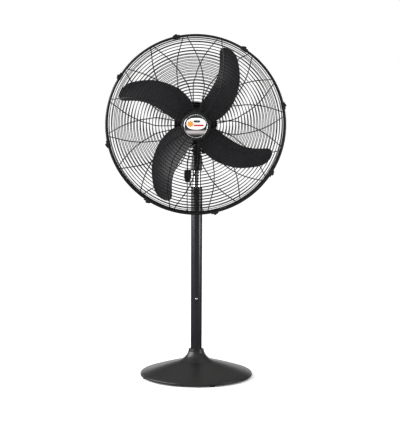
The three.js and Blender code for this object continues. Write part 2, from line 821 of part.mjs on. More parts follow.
const PLATE_Y = frontY(0) - WIRE_R - 1.6;
const plateOutline = [
  [0, PLATE_Y],
  [0, PLATE_Y - 2],
  [PLATE_R - 2, PLATE_Y - 2],
  [PLATE_R, PLATE_Y],
];
add("front_plate", turnedY(plateOutline, 24), "blackPaint");
const badgeOutline = [[0, PLATE_Y - 2 - GAP], [BADGE_R, PLATE_Y - 2 - GAP], [BADGE_R, PLATE_Y - 4]];
for (let i = 1; i <= 5; i++) {
  const t = 1 - i / 5;
  badgeOutline.push([(BADGE_R - 3) * t, PLATE_Y - 4.5 - 4.2 * (1 - t * t)]);
}
add("badge", turnedY(badgeOutline, 24), "chrome");

// A clip holds the two rims together. It wraps the back of the rear rim wire, which it turns on,
// bridges the front rim outside, and drops a lip in front of it. u runs along Y, v outwards.
const CLIP_IN = RIM_WIRE_R + 0.7;
const CLIP_OUT = RIM_WIRE_R + 2.9;
const CLIP_NOSE = FRONT_RIM_Y - REAR_RIM_Y - RIM_WIRE_R - 2.9;
const CLIP_TAB = RIM_WIRE_R + 7.5;
const CLIP_WIDE = 28;
function clipGeometry(angle) {
  const s = new THREE.Shape();
  s.moveTo(CLIP_NOSE, -3);
  s.lineTo(CLIP_NOSE, CLIP_OUT);
  s.lineTo(0, CLIP_OUT);
  s.absarc(0, 0, CLIP_OUT, Math.PI / 2, rad(-60), true);
  s.lineTo(CLIP_IN * Math.cos(rad(-60)), CLIP_IN * Math.sin(rad(-60)));
  s.absarc(0, 0, CLIP_IN, rad(-60), Math.PI / 2, false);
  s.lineTo(CLIP_NOSE + 2.2, CLIP_IN);
  s.lineTo(CLIP_NOSE + 2.2, -3);
  s.closePath();
  const tab = new THREE.Shape();
  tab.moveTo(CLIP_NOSE, CLIP_OUT - 1);
  tab.lineTo(CLIP_NOSE - 0.8, CLIP_TAB);
  tab.lineTo(CLIP_NOSE + 2, CLIP_TAB);
  tab.lineTo(CLIP_NOSE + 9, CLIP_OUT - 1);
  tab.closePath();
  const strap = extruded(s, CLIP_WIDE).translate(0, 0, -CLIP_WIDE / 2);
  const thumb = extruded(tab, 15).translate(0, 0, -CLIP_WIDE / 2 + 1);
  // u, v and the width become Y, the outward radius and the tangent at the clip's angle.
  const out = new THREE.Vector3(Math.cos(angle), 0, Math.sin(angle));
  const along = new THREE.Vector3(0, 1, 0);
  const place = new THREE.Matrix4()
    .makeBasis(along, out, new THREE.Vector3().crossVectors(along, out))
    .setPosition(onAxis(CAGE_R, angle, REAR_RIM_Y));
  return upright(toGeometry(toSolid(strap).add(toSolid(thumb))).applyMatrix4(place));
}
for (let i = 0; i < CLIPS; i++)
  add("clip_" + (i + 1), clipGeometry(rad(CLIP_TURN + (360 / CLIPS) * i)), "blackPaint");

export default group;
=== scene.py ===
"""Pedestal fan: the looks of every piece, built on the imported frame.

Metres, in the frame's own axes: +Z up, the fan blows towards -Y, and the pole stands on the Z axis.
Outlines are given in millimetres. Each shape is a surface of two parameters worked out as whole
arrays, and each material is worked out from Object coordinates.
"""

import math

import bmesh
import bpy
import mathutils
import numpy as np
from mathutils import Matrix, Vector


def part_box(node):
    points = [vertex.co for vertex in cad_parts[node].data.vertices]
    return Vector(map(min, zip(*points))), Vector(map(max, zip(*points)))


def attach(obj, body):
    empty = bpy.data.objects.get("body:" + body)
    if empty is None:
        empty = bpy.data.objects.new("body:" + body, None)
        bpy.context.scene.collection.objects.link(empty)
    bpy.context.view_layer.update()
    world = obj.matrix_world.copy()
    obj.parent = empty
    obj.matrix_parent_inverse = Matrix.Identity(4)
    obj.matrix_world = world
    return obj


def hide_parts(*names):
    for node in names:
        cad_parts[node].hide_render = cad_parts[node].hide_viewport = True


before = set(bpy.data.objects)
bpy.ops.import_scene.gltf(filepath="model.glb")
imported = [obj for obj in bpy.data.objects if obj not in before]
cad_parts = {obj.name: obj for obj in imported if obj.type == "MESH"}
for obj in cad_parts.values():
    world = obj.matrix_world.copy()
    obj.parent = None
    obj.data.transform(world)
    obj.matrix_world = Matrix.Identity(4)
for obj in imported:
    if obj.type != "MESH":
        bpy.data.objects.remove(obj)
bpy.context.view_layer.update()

MM = 0.001
TAU = 2 * math.pi


# ---- places read from the frame
def low(node):
    """The lower corner of a node's box, in mm."""
    return np.array(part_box(node)[0]) / MM


def high(node):
    """The upper corner of a node's box, in mm."""
    return np.array(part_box(node)[1]) / MM


def middle(node):
    """The middle of a node's box, in mm."""
    return (low(node) + high(node)) / 2


HUB = middle("motor_shell")  # on the motor's axis
AXLE = HUB * [1, 0, 1]  # the point of that axis at y = 0
POLE_R = (high("outer_tube")[0] - low("outer_tube")[0]) / 2
WIDER = 1.7  # the painted tube is drawn this much wider all round than its CAD node
TUBE_R = POLE_R + WIDER
POLE_FOOT, POLE_TOP = low("outer_tube")[2], high("outer_tube")[2]
MAST_R = (high("inner_tube")[0] - low("inner_tube")[0]) / 2
TILT_Z = middle("tilt_knob")[2]  # the head tilts round X at this height
FLANGE_Z = TILT_Z + 15  # under side of the swivel flange
LINK_Z = TILT_Z + 23  # under side of the oscillation link
LOCK_Z = middle("height_knob")[2]
RIM_WIRE_R = 5.0
CAGE_R = (high("front_guard")[0] - low("front_guard")[0]) / 2 - RIM_WIRE_R
FRONT_RIM_Y = high("front_guard")[1] - RIM_WIRE_R
REAR_RIM_Y = low("rear_guard")[1] + RIM_WIRE_R


def put(name, data):
    """A new object in the scene, from a mesh, a lamp or a camera."""
    made = bpy.data.objects.new(name, data)
    bpy.context.collection.objects.link(made)
    return made


# ---- camera
def make_camera():
    """Stands far in front at eye height, looks slightly down, and frames the whole fan."""
    data = bpy.data.cameras.new("camera")
    data.sensor_width = 36
    data.lens = 145.15
    data.clip_end = 60
    camera = put("camera", data)
    bearing, pitch, roll = math.radians(0.561), math.radians(7.083), math.radians(0.202)
    forward = mathutils.Vector((math.sin(bearing) * math.cos(pitch),
                                math.cos(bearing) * math.cos(pitch), -math.sin(pitch)))
    level = forward.to_track_quat("-Z", "Y")
    camera.location = (-0.0526, -6.7296, 1.5078)
    camera.rotation_mode = "QUATERNION"
    camera.rotation_quaternion = level @ mathutils.Quaternion((0, 0, 1), roll)
    bpy.context.scene.camera = camera


make_camera()


# ---- colour and material helpers
def linear(code):
    """A hex sRGB colour as linear red, green, blue and alpha."""
    parts = [int(code[i : i + 2], 16) / 255 for i in (1, 3, 5)]
    return [p / 12.92 if p <= 0.04045 else ((p + 0.055) / 1.055) ** 2.4 for p in parts] + [1.0]


def node(tree, kind, links=(), stops=(), **settings):
    """Adds a shader node. links are pairs of an input's name or number and the socket or value that
    feeds it, stops are a colour ramp's pairs of a position and a hex colour or grey level, and
    settings are properties of the node, or values of the inputs that have those names."""
    made = tree.nodes.new("ShaderNode" + kind)
    for name, value in settings.items():
        if hasattr(made, name):
            setattr(made, name, value)
        else:
            made.inputs[name.replace("_", " ")].default_value = value
    for name, source in links:
        if isinstance(source, bpy.types.NodeSocket):
            tree.links.new(source, made.inputs[name])
        else:
            made.inputs[name].default_value = source
    while stops and len(made.color_ramp.elements) < len(stops):
        made.color_ramp.elements.new(0.5)
    for position, (at, value) in enumerate(stops):
        element = made.color_ramp.elements[position]
        element.position = at
        element.color = linear(value) if isinstance(value, str) else [value] * 3 + [1.0]
    return made


def material(name, **shader):
    """A new material and its parts: the tree, the Principled shader and the Object coordinates."""
    made = bpy.data.materials.new(name)
    made.use_nodes = True
    tree = made.node_tree
    principled = tree.nodes["Principled BSDF"]
    for key, value in shader.items():
        principled.inputs[key.replace("_", " ")].default_value = value
    where = node(tree, "TexCoord").outputs["Object"]
    return made, tree, principled, where


def finish_with(tree, principled, pattern, relief, colours, rough, bump, depth_mm):
    """Feeds a pattern's level into the colour and the roughness, and a relief into the normal."""
    tint = node(tree, "ValToRGB", [("Fac", pattern)],
                [(0.3, colours[0]), (0.7, colours[1])])
    gloss = node(tree, "MapRange", [("Value", pattern), ("To Min", rough[0]),
                                              ("To Max", rough[1])], From_Min=0.3, From_Max=0.7)
    dent = node(tree, "Bump", [("Height", relief)], Strength=bump,
                Distance=depth_mm * MM)
    tree.links.new(tint.outputs["Color"], principled.inputs["Base Color"])
    tree.links.new(gloss.outputs["Result"], principled.inputs["Roughness"])
    tree.links.new(dent.outputs["Normal"], principled.inputs["Normal"])


def powder_coat(name, colours, rough=(0.40, 0.52), grain_mm=1.4, bump=0.10):
    """Powder coat on steel, melted into a skin with a fine orange peel. The eye sees soft, broad
    highlights and a slightly uneven black."""
    made, tree, principled, where = material(name, IOR=1.5)
    cloud = node(tree, "TexNoise", [("Vector", where)], Scale=9.0, Detail=3.0)
    peel = node(tree, "TexNoise", [("Vector", where)], Scale=1 / (grain_mm * MM),
                Detail=2.0)
    finish_with(tree, principled, cloud.outputs["Fac"], peel.outputs["Fac"], colours, rough, bump,
                0.2)
    return made


def moulded(name, colours, rough=(0.5, 0.62), texture_mm=0.9, bump=0.15):
    """Plastic or rubber from a spark-eroded mould: the eye sees a matt, slightly pebbled skin with
    no clear reflections, and a faint flow pattern in the black."""
    made, tree, principled, where = material(name, IOR=1.53)
    pebble = node(tree, "TexVoronoi", [("Vector", where)], Scale=1 / (texture_mm * MM))
    cloud = node(tree, "TexNoise", [("Vector", where)], Scale=22.0, Detail=4.0)
    finish_with(tree, principled, cloud.outputs["Fac"], pebble.outputs["Distance"], colours, rough,
                bump, 0.15)
    return made


def bare_metal(name, colours, rough=(0.05, 0.12), stretch=(1, 1, 1), grain_mm=2.0, bump=0.02):
    """Plated or turned metal: the eye sees a mirror, blurred along faint lines that drawing or
    turning left under the plate."""
    made, tree, principled, where = material(name, Metallic=1.0)
    place = node(tree, "Mapping", [("Vector", where)], Scale=stretch)
    lines = node(tree, "TexNoise", [("Vector", place.outputs["Vector"])],
                 Scale=1 / (grain_mm * MM), Detail=3.0)
    finish_with(tree, principled, lines.outputs["Fac"], lines.outputs["Fac"], colours, rough, bump,
                0.1)
    return made


BASE_PAINT = powder_coat("powder coat, base", ("#1a1919", "#201f1e"), rough=(0.28, 0.36))
POLE_PAINT = powder_coat("powder coat, pole", ("#16161a", "#1b1b20"), rough=(0.2, 0.27), bump=0.05)
MOTOR_PAINT = powder_coat("powder coat, motor", ("#101012", "#161618"), rough=(0.38, 0.5))
BLADE_PAINT = powder_coat("stove enamel, blades", ("#1b1b1f", "#212126"), rough=(0.34, 0.42))
WIRE_PAINT = powder_coat("powder coat, wire", ("#0a0808", "#110e0d"), rough=(0.35, 0.5), grain_mm=1)
ABS = moulded("moulded ABS, black", ("#0e0e0f", "#151516"))
RUBBER = moulded("moulded rubber", ("#0b0b0b", "#121212"), rough=(0.75, 0.9), texture_mm=1.5)
CORD_PVC = moulded("extruded PVC", ("#0e0e0e", "#141414"), rough=(0.4, 0.5), texture_mm=2)
CHROME = bare_metal("chrome plate", ("#d4d6da", "#e4e6e9"), stretch=(1, 1, 0.02))
BLACKENED = bare_metal("blackened steel", ("#2b2b2d", "#38383a"), rough=(0.35, 0.5), grain_mm=1.2)
ZINC = bare_metal("zinc plate", ("#8f9296", "#a7aaad"), rough=(0.28, 0.42), grain_mm=1.2, bump=0.1)
IRON = powder_coat("grey iron, as cast", ("#2c2b2a", "#3b3938"), rough=(0.65, 0.8), bump=0.5)
BRASS = bare_metal("turned brass", ("#a98544", "#c29d58"), rough=(0.2, 0.35), grain_mm=0.8)


# ---- mesh helpers
def piece(name, part, finish, body, replaces=(), sharp_deg=38):
    """Puts a part's points and faces into a mesh, merges the seam and the poles, turns the faces
    outwards and hands the piece to its body."""
    points, faces = part
    mesh = bpy.data.meshes.new(name)
    mesh.from_pydata(np.asarray(points, dtype=float).tolist(), [], faces)
    work = bmesh.new()
    work.from_mesh(mesh)
    bmesh.ops.remove_doubles(work, verts=work.verts, dist=2e-6)
    bmesh.ops.dissolve_degenerate(work, edges=work.edges, dist=1e-7)
    bmesh.ops.recalc_face_normals(work, faces=work.faces)
    work.to_mesh(mesh)
    work.free()
    mesh.shade_smooth()
    mesh.set_sharp_from_angle(angle=math.radians(sharp_deg))
    mesh.materials.append(finish)
    made = put(name, mesh)
    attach(made, body)
    if replaces:
        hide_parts(*replaces)
    return made


def grid_faces(rows, cols, close_rows=False, close_cols=True, start=0):
    """The four-cornered faces of a grid of rows by cols points, numbered row by row."""
    i = np.arange(rows if close_rows else rows - 1)[:, None]
    j = np.arange(cols if close_cols else cols - 1)[None, :]
    i2, j2 = (i + 1) % rows, (j + 1) % cols
    corners = np.stack(np.broadcast_arrays(i * cols + j, i * cols + j2, i2 * cols + j2,
                                           i2 * cols + j), axis=-1)
    return (corners.reshape(-1, 4) + start).tolist()


def capped_faces(rows, cols):
    """A grid's faces round a closed section, and one face over each end."""
    ends = [list(range(cols)), list(range((rows - 1) * cols, rows * cols))]
    return grid_faces(rows, cols) + ends


def joined(*parts):
    """Several parts as one."""
    points, faces, start = [], [], 0
    for p, f in parts:
        points.append(p)
        faces += [[i + start for i in face] for face in f]
        start += len(p)
    return np.vstack(points), faces


def rounded(corners, steps=4, closed=True):
    """An outline in mm from (a, b) or (a, b, radius) corners: each corner with a radius becomes a
    quadratic arc between the points that far along its two sides."""
    out = []
    count = len(corners)
    for k, corner in enumerate(corners):
        here = np.array(corner[:2], dtype=float)
        radius = corner[2] if len(corner) > 2 else 0
        if not radius or (not closed and k in (0, count - 1)):
            out.append(here)
            continue
        before = np.array(corners[k - 1][:2], dtype=float) - here
        after = np.array(corners[(k + 1) % count][:2], dtype=float) - here
        a = here + before * min(radius / np.linalg.norm(before), 0.5)
        b = here + after * min(radius / np.linalg.norm(after), 0.5)
        for t in np.linspace(0, 1, steps + 1):
            out.append((1 - t) ** 2 * a + 2 * t * (1 - t) * here + t**2 * b)
    return np.array(out)


def curve_through(points, count):
    """A Catmull-Rom curve through the points: each span is the cubic that leaves a point along the
    line between its neighbours. Works on rows of any length."""
    p = np.asarray(points, dtype=float)
    p = np.vstack([2 * p[0] - p[1], p, 2 * p[-1] - p[-2]])
    t = np.linspace(0, len(p) - 3, count)
    k = np.minimum(t.astype(int), len(p) - 4)
    u = (t - k)[:, None]
    a, b, c, d = p[k], p[k + 1], p[k + 2], p[k + 3]
    return 0.5 * (
        2 * b + (c - a) * u + (2 * a - 5 * b + 4 * c - d) * u**2 + (3 * b - a - 3 * c + d) * u**3
    )


def arc(radius, start_deg, stop_deg, a=0.0, b=0.0, steps=20):
    """Points of a circle's arc round (a, b), from one angle to another."""
    turn = np.radians(np.linspace(start_deg, stop_deg, steps))
    return [(a + radius * c, b + radius * s) for c, s in zip(np.cos(turn), np.sin(turn))]


# For each axis: the directions of an outline's first and second number, and of the axis itself.
AXES = {
    "z": ((1, 0, 0), (0, 1, 0), (0, 0, 1)),
    "y": ((1, 0, 0), (0, 0, 1), (0, 1, 0)),
    "x": ((0, 1, 0), (0, 0, 1), (1, 0, 0)),
}


def turned(corners, axis="z", centre=(0, 0, 0), around=96, lobes=0, lobe_mm=0, relief=None,
           oval=1.0):
    """A part of revolution: each point (radius, height) of the rounded outline goes round the axis.
    An outline that starts on the axis also ends there, and stays open. Lobes pull the radius in
    between them, in proportion to its square. relief(radius, height, angle) in mm is how far a
    point sinks along the axis. oval stretches the second direction."""
    closed = corners[0][0] > 0
    outline = rounded(corners, closed=closed)
    angle = np.arange(around) * TAU / around
    radius = np.repeat(outline[:, :1], around, axis=1)
    height = np.repeat(outline[:, 1:2], around, axis=1)
    if lobes:
        share = (radius / radius.max()) ** 2
        radius = radius - lobe_mm * share * (0.5 - 0.5 * np.cos(lobes * angle))[None, :]
    if relief:
        height = height - relief(radius, height, angle[None, :])
    u, v, w = (np.array(a) for a in AXES[axis])
    points = ((radius * np.cos(angle))[..., None] * u
              + (radius * np.sin(angle) * oval)[..., None] * v + height[..., None] * w)
    points = (points.reshape(-1, 3) + np.asarray(centre)) * MM
    return points, grid_faces(len(outline), around, close_rows=closed)


def prism(outline, start, stop, edge, axis="z", centre=(0, 0, 0), basis=None, steps=4):
    """A plate: a closed outline runs along an axis from start to stop, in mm. Its end edges are
    quarter rounds: each of their rows is the outline moved in square to itself."""
    p = np.asarray(outline, dtype=float)
    before, after = p - np.roll(p, 1, axis=0), np.roll(p, -1, axis=0) - p
    if (before[:, 0] * after[:, 1] - before[:, 1] * after[:, 0]).sum() < 0:
        p, before, after = p[::-1], -after[::-1], -before[::-1]
    square = np.array([e / np.linalg.norm(e, axis=1, keepdims=True) for e in (before, after)])
    square = square.sum(axis=0)[:, ::-1] * [1, -1]
    square /= np.linalg.norm(square, axis=1, keepdims=True)
    turn = np.linspace(0, math.pi / 2, steps)
    inset = edge * (1 - np.sin(turn))
    rise = edge * (1 - np.cos(turn))
    height = np.concatenate([start + rise, (stop - rise)[::-1]])
    inset = np.concatenate([inset, inset[::-1]])
    flat = p[None] - inset[:, None, None] * square[None]
    u, v, w = (np.array(x) for x in (basis or AXES[axis]))
    points = flat[..., :1] * u + flat[..., 1:] * v + height[:, None, None] * w
    return (points.reshape(-1, 3) + np.asarray(centre)) * MM, capped_faces(len(height), len(p))


def block(lo, hi, edge, corner, axis="z"):
    """A box between two corners in mm, with rounded sides and soft end edges."""
    a, b, h = {"z": (0, 1, 2), "y": (0, 2, 1), "x": (1, 2, 0)}[axis]
    outline = rounded([(lo[a], lo[b], corner), (hi[a], lo[b], corner), (hi[a], hi[b], corner),
                       (lo[a], hi[b], corner)], steps=6)
    return prism(outline, lo[h], hi[h], edge, axis)


def swept(paths, sides, radius, closed, round_by=6):
    """Round wires: each path is a row of points in mm, and a circle is carried along it, square to
    it. sides is a direction that is never along the wire, one for all points or one for each."""
    paths, sides = np.asarray(paths, dtype=float), np.asarray(sides, dtype=float)
    count, steps, _ = paths.shape
    if closed:
        along = np.roll(paths, -1, axis=1) - np.roll(paths, 1, axis=1)
    else:
        along = np.gradient(paths, axis=1)
    along /= np.linalg.norm(along, axis=2, keepdims=True)
    across = sides - (sides * along).sum(axis=2, keepdims=True) * along
    across /= np.linalg.norm(across, axis=2, keepdims=True)
    other = np.cross(along, across)
    turn = np.arange(round_by) * TAU / round_by
    points = (paths[:, :, None] + radius * np.cos(turn)[:, None] * across[:, :, None]
              + radius * np.sin(turn)[:, None] * other[:, :, None])
    faces = []
    for k in range(count):
        start = k * steps * round_by
        faces += grid_faces(steps, round_by, close_rows=closed, start=start)
        if not closed:
            faces.append([start + j for j in range(round_by)])
            faces.append([start + (steps - 1) * round_by + j for j in range(round_by)])
    return points.reshape(-1, 3) * MM, faces


# ---- pull cord
def make_cord():
    """The switch's pull cord hangs straight down from the box to its bead."""
    x, y, _ = middle("pull_cord")
    top, foot = high("pull_cord")[2], low("pull_cord")[2]
    steps = 30
    drop = np.linspace(top, foot, steps)
    path = np.stack([np.full(steps, x), np.full(steps, y), drop], axis=1)
    part = swept(path[None], (1, 0, 0), 1.6, False, 12)
    made = piece("pull_cord_sheath", part, CORD_PVC, "pull", ["pull_cord"])


make_cord()


# ---- cage
RIB_R = 1.9
RING_R = 1.5
FRONT_DEPTH = 60.0
REAR_DEPTH = 76.0
FRONT_PITCH = 12.1
REAR_PITCH = 11.88
REAR_FIRST_R = 97.9
RING_FIRST_R = 58.0
RIBS = 16
RIB_TURN = 7.0  # degrees from +X to a rib's rim end
GUARD_PLATE_R = 84.0


def front_y(r):
    """Depth of the front dome: flat in the middle, falling with the 4.5th power towards the rim."""
    return FRONT_RIM_Y - FRONT_DEPTH * (1 - (r / CAGE_R) ** 4.5)


def rear_y(r):
    """Depth of the rear basket: a superellipse, with a nearly flat back and a steep side."""
    return REAR_RIM_Y + REAR_DEPTH * np.maximum(1 - (r / CAGE_R) ** 5, 0) ** 0.4


def on_cage(r, angle, y):
    """Points at a radius and an angle round the motor's axis, and at a depth y."""
    r, angle, y = np.broadcast_arrays(r, angle, y)
    return np.stack([HUB[0] + r * np.cos(angle), y, HUB[2] + r * np.sin(angle)], axis=-1)


def even_radii(depth, start, stop, pitch):
    """Radii whose rings lie one pitch apart, measured along the dome's profile."""
    r = np.linspace(start, stop, 2000)
    length = np.concatenate([[0], np.cumsum(np.hypot(np.diff(r), np.diff(depth(r))))])
    return np.interp(np.arange(0, length[-1], pitch), length, r)


def rings(radii, depths, thickness, around=160, round_by=5):
    """One round wire for each radius, at its own depth."""
    turn = np.arange(around) * TAU / around
    paths = on_cage(np.asarray(radii)[:, None], turn[None, :], np.asarray(depths)[:, None])
    return swept(paths, (0, 1, 0), thickness, True, round_by)


# How far a rib has swung from its rim end, in degrees, as it runs in to the middle.
RIB_SWING = [
    (346.5, 1.1), (330, 2.2), (300, 5.0), (268, 8.2), (235, 11.25), (210, 13.6), (184, 15.7),
    (157, 18.7), (118, 20.2), (98, 21.0), (80, 21.2), (52, 21.4),
]


def ribs(depth, way, inner, lift):
    """Sixteen ribs. Each leaves the rim, swings round as it runs inwards, and ends straight."""
    rim_share = np.linspace(0, 1, 80) ** 1.7
    r = CAGE_R + (inner - CAGE_R) * rim_share
    table = np.array(RIB_SWING)[::-1]
    spread = curve_through(table, 200)
    swing = np.interp(r, spread[:, 0], spread[:, 1])
    first = np.radians(RIB_TURN + np.arange(RIBS) * 360 / RIBS)
    angle = first[:, None] + way * np.radians(swing)[None, :]
    paths = on_cage(r[None, :], angle, depth(r)[None, :] + lift)
    sides = np.stack([-np.sin(angle), 0 * angle, np.cos(angle)], axis=-1)
    return swept(paths, sides, RIB_R, False)


def make_cage():
    """Two wire domes, each of a thick rim, even rings and S-shaped ribs. The front one's ribs swing
    one way and the rear one's the other, so that they cross. The rear rings hang on a plate."""
    radii = np.arange(RING_FIRST_R, CAGE_R - 7, FRONT_PITCH)
    front = joined(
        rings([CAGE_R], [FRONT_RIM_Y], RIM_WIRE_R, 240, 16),
        rings(radii, front_y(radii) + RING_R, RING_R),
        ribs(front_y, -1, 48, -1.2),
    )
    piece("front_cage", front, WIRE_PAINT, "head", ["front_guard"])
    rear_radii = even_radii(rear_y, REAR_FIRST_R, CAGE_R - 0.01, REAR_PITCH)
    rear = joined(
        rings([CAGE_R], [REAR_RIM_Y], RIM_WIRE_R, 240, 16),
        rings(rear_radii, rear_y(rear_radii) + RING_R, RING_R),
        ribs(rear_y, 1, GUARD_PLATE_R - 5, -1.2),
    )
    piece("rear_cage", rear, WIRE_PAINT, "head", ["rear_guard"])
    back = high("rear_guard")[1]
    plate = turned(
        [(26, back), (GUARD_PLATE_R - 2, back, 1), (GUARD_PLATE_R, back - 3.4, 1),
         (GUARD_PLATE_R, back - 6.7, 1), (GUARD_PLATE_R - 3, back - 6.7, 1),
         (GUARD_PLATE_R - 4, back - 4, 2), (58, back - 4, 3), (54, back - 6, 3), (26, back - 6)],
        "y", AXLE, 144,
    )
    piece("rear_cage_plate", plate, WIRE_PAINT, "head")


make_cage()

CLIP_TURN = 12.5  # degrees from +X to the first clip
CLIP_IN = RIM_WIRE_R + 0.7
CLIP_OUT = RIM_WIRE_R + 2.9
CLIP_NOSE = FRONT_RIM_Y - REAR_RIM_Y - RIM_WIRE_R - 2.9
CLIP_TOP = RIM_WIRE_R + 8.0


def make_clip(index):
    """A pressed strap that wraps the rear rim wire, which it turns on, and hooks over the front
    one, with a thumb wedge on its nose."""
    angle = math.radians(CLIP_TURN + 45 * (index - 1))
    outwards = (math.cos(angle), 0, math.sin(angle))
    across = (math.sin(angle), 0, -math.cos(angle))
    centre = AXLE + np.array(outwards) * CAGE_R + [0, REAR_RIM_Y, 0]
    nose = rounded(
        [(0, CLIP_OUT), (CLIP_NOSE, CLIP_OUT, 2), (CLIP_NOSE, -3, 0.8), (CLIP_NOSE + 2.2, -3, 0.8),
         (CLIP_NOSE + 2.2, CLIP_IN, 0.8), (0, CLIP_IN)],
    )
    hook = arc(CLIP_IN, 90, -60)[1:] + arc(CLIP_OUT, -60, 90)[:-1]
    strap = prism(np.vstack([nose, hook]), -14, 14, 0.5, centre=centre,
                  basis=((0, 1, 0), outwards, across))
    wedge = rounded([(-13, CLIP_OUT - 1), (-12, CLIP_OUT + 0.6, 2), (-1, CLIP_TOP, 3),
                     (3, CLIP_TOP, 1.6), (5, CLIP_OUT - 1)])
    thumb = prism(wedge, CLIP_NOSE - 0.8, CLIP_NOSE + 9, 1.2, centre=centre,
                  basis=(across, outwards, (0, 1, 0)))
    name = f"clip_{index}"
    piece(name + "_skin", joined(strap, thumb), MOTOR_PAINT, name, [name])


for number in range(1, 9):
    make_clip(number)


# ---- blades, hub and shaft
BLADE_MID_Y = -128.0
BLADE_TURN = 67.0  # degrees from +X to the first tip
BLADE_CAMBER = 7.0  # how far a chord bows where its half rise is BLADE_RISE
BLADE_RISE = 22
BLADE_THIN_R = 328  # near the tip the thickness falls towards zero at this radius
# At each radius in mm: leading and trailing edge in degrees from the tip's radial line, and the
# half rise of the chord, from the trailing edge in front to the leading edge behind.
BLADE = [
    (58.6, -60, 16, 23), (86, -57, 9.5, 26), (118, -49.5, 3.5, 25), (157, -40.5, 0, 22),
    (197, -31.5, -1, 19), (236, -23.5, 0.5, 16), (275, -15, 3.5, 13), (299, -10, 5, 10),
    (313, -6.2, 4.3, 7), (321, -1.8, 1.8, 2),
]


def make_blade(index):
    """A sickle: at each radius an arc of the circle from the leading to the trailing edge, which
    rises towards the front and bows in the middle. The second side lies one thickness behind, and
    the thickness falls off towards the edges."""
    rows, cols = 90, 44
    r, lead, trail, rise = curve_through(BLADE, rows).T[..., None]
    t = 0.5 - 0.5 * np.cos(np.linspace(0, math.pi, cols))[None, :]
    turn = math.radians(BLADE_TURN + 90 * (index - 1))
    angle = turn + np.radians(lead + (trail - lead) * t)
    bow = 4 * t * (1 - t) * BLADE_CAMBER * (rise / BLADE_RISE)
    tip = np.clip((BLADE_THIN_R - r) / 6, 0.3, 1)
    half = 0.9 * np.sqrt(np.clip(4 * t * (1 - t), 0.02, 1)) * tip
    y = BLADE_MID_Y + rise * (1 - 2 * t) + bow
    sheets = [on_cage(r, angle, y + side * half).reshape(-1, 3) for side in (-1, 1)]
    n = rows * cols
    faces = grid_faces(rows, cols, close_cols=False)
    faces += grid_faces(rows, cols, close_cols=False, start=n)
    edge = np.concatenate([
        np.arange(cols), np.arange(2, rows + 1) * cols - 1,
        (rows - 1) * cols + np.arange(cols - 2, -1, -1), np.arange(rows - 2, 0, -1) * cols,
    ])
    after = np.roll(edge, -1)
    faces += np.stack([edge, after, after + n, edge + n], axis=1).tolist()
    name = f"blade_{index}"
    part = (np.vstack(sheets) * MM, faces)
    piece(name + "_skin", part, BLADE_PAINT, "rotor", [name], 60)


for number in range(1, 5):
    make_blade(number)

HUB_OUTLINE = [
    (6.3, -162), (30, -162, 4), (51, -158, 6), (58, -149, 5), (58, -102, 1), (55, -102, 1),
    (55, -148, 4), (22, -156, 2), (16, -155, 1), (16, -104, 1), (6.3, -104),
]
piece("blade_hub_skin", turned(HUB_OUTLINE, "y", AXLE, 128), MOTOR_PAINT, "rotor", ["blade_hub"])
NUT_OUTLINE = [
    (0, -176), (9, -176, 2), (13, -172, 2), (13, -162.3, 0.5), (6.3, -162.3), (6.3, -170.3),
    (0, -170.3),
]
piece("hub_nut_skin", turned(NUT_OUTLINE, "y", AXLE, 48), BLACKENED, "rotor",
      ["hub_nut"])
piece("shaft_skin", turned([(0, -170), (6, -170, 1), (6, 92, 1), (0, 92)], "y", AXLE, 48), ZINC,
      "rotor", ["shaft"])


